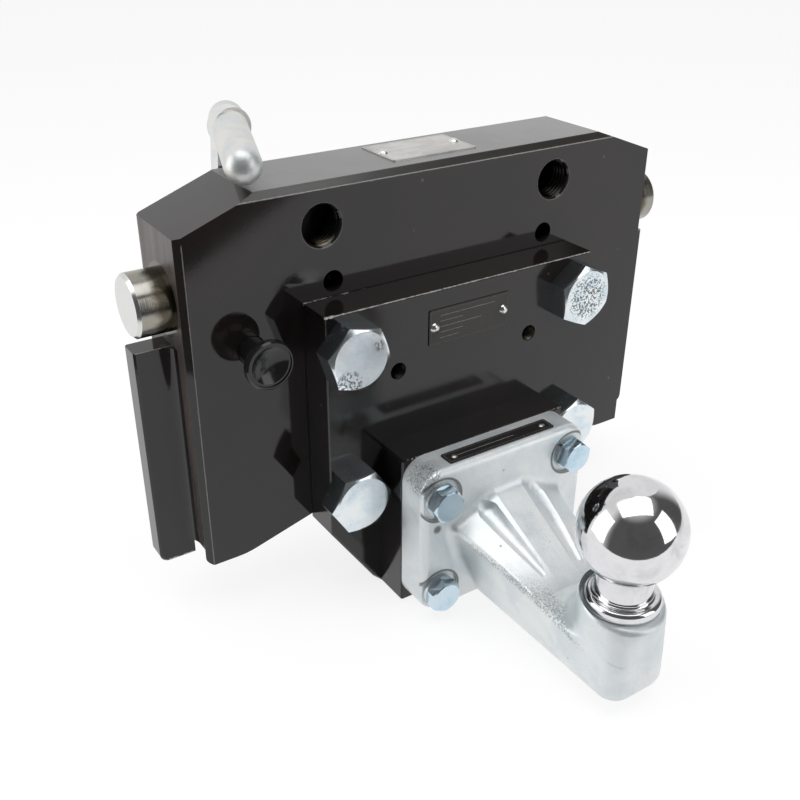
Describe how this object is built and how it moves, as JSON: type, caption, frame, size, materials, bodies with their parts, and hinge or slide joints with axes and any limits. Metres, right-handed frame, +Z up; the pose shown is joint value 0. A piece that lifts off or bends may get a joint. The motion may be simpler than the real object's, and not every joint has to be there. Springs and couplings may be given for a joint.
{
  "type": "tow ball hitch",
  "caption": "Height-adjustable tow ball hitch for a ladder frame: black carriage block with lever-worked locking pins, bolted plate and zinc-plated ball bracket.",
  "frame": {"origin": "centre of the tow ball", "axes": "+X to the right seen from the ball's side, +Y from the ball towards the carriage block, +Z up along the ball's neck"},
  "size_m": [0.32, 0.2408, 0.2487],
  "materials": {
    "black_paint": "gloss",
    "zinc_casting": "satin",
    "zinc_bolt": "satin",
    "zinc_lever": "satin",
    "polished_ball": "polished",
    "bare_steel": "satin",
    "spring_steel": "satin",
    "bronze": "satin",
    "black_plastic": "matte",
    "silver_tag": "satin",
    "black_tag": "satin",
    "rivet_metal": "satin"
  },
  "bodies": {
    "carriage": {"carriage_body": "black_paint", "left_guide_bar": "black_paint", "right_guide_bar": "black_paint", "shaft_bush": "bronze", "lever_stop_pin": "bare_steel", "plunger_cap": "black_paint", "intermediate_plate": "black_paint", "stand_off_block": "black_paint", "plate_bolts": "zinc_bolt", "ball_bracket": "zinc_casting", "tow_ball": "polished_ball", "flange_bolts": "zinc_bolt", "flange_spring_washers": "zinc_bolt", "top_tag": "silver_tag", "top_tag_rivets": "rivet_metal", "front_tag": "black_tag", "front_tag_rivets": "rivet_metal", "flange_tag": "black_tag", "flange_tag_rivets": "rivet_metal", "left_return_spring": "spring_steel", "right_return_spring": "spring_steel", "release_spring": "spring_steel"},
    "lever": {"pinion_shaft": "bare_steel", "lever_plate": "zinc_lever", "lever_grip": "zinc_lever", "hub_washer": "zinc_bolt", "hub_nut": "zinc_bolt"},
    "left_pin": {"left_locking_pin": "bare_steel"},
    "right_pin": {"right_locking_pin": "bare_steel"},
    "release": {"release_knob": "black_plastic", "release_plunger": "bare_steel"}
  },
  "joints": [
    {"name": "lever_turn", "type": "hinge", "parent": "carriage", "child": "lever", "pos_m": [0, 0.1682, 0.0825], "axis": [0, 1, 0], "range_deg": [0, 105], "stiffness_Nm_per_rad": 2.6, "springref_deg": -31.51},
    {"name": "left_pin_slide", "type": "slide", "parent": "carriage", "child": "left_pin", "axis": [1, 0, 0], "range_m": [0, 0.0165], "deforming": ["left_return_spring"]},
    {"name": "right_pin_slide", "type": "slide", "parent": "carriage", "child": "right_pin", "axis": [-1, 0, 0], "range_m": [0, 0.0165], "deforming": ["right_return_spring"]},
    {"name": "knob_push", "type": "slide", "parent": "carriage", "child": "release", "axis": [0, 1, 0], "range_m": [0, 0.006], "stiffness_N_per_m": 2500, "springref_m": -0.006, "deforming": ["release_spring"]}
  ],
  "couplings": [
    {"joint": "left_pin_slide", "follows": "lever_turn", "m_per_rad": 0.009},
    {"joint": "right_pin_slide", "follows": "lever_turn", "m_per_rad": 0.009}
  ]
}
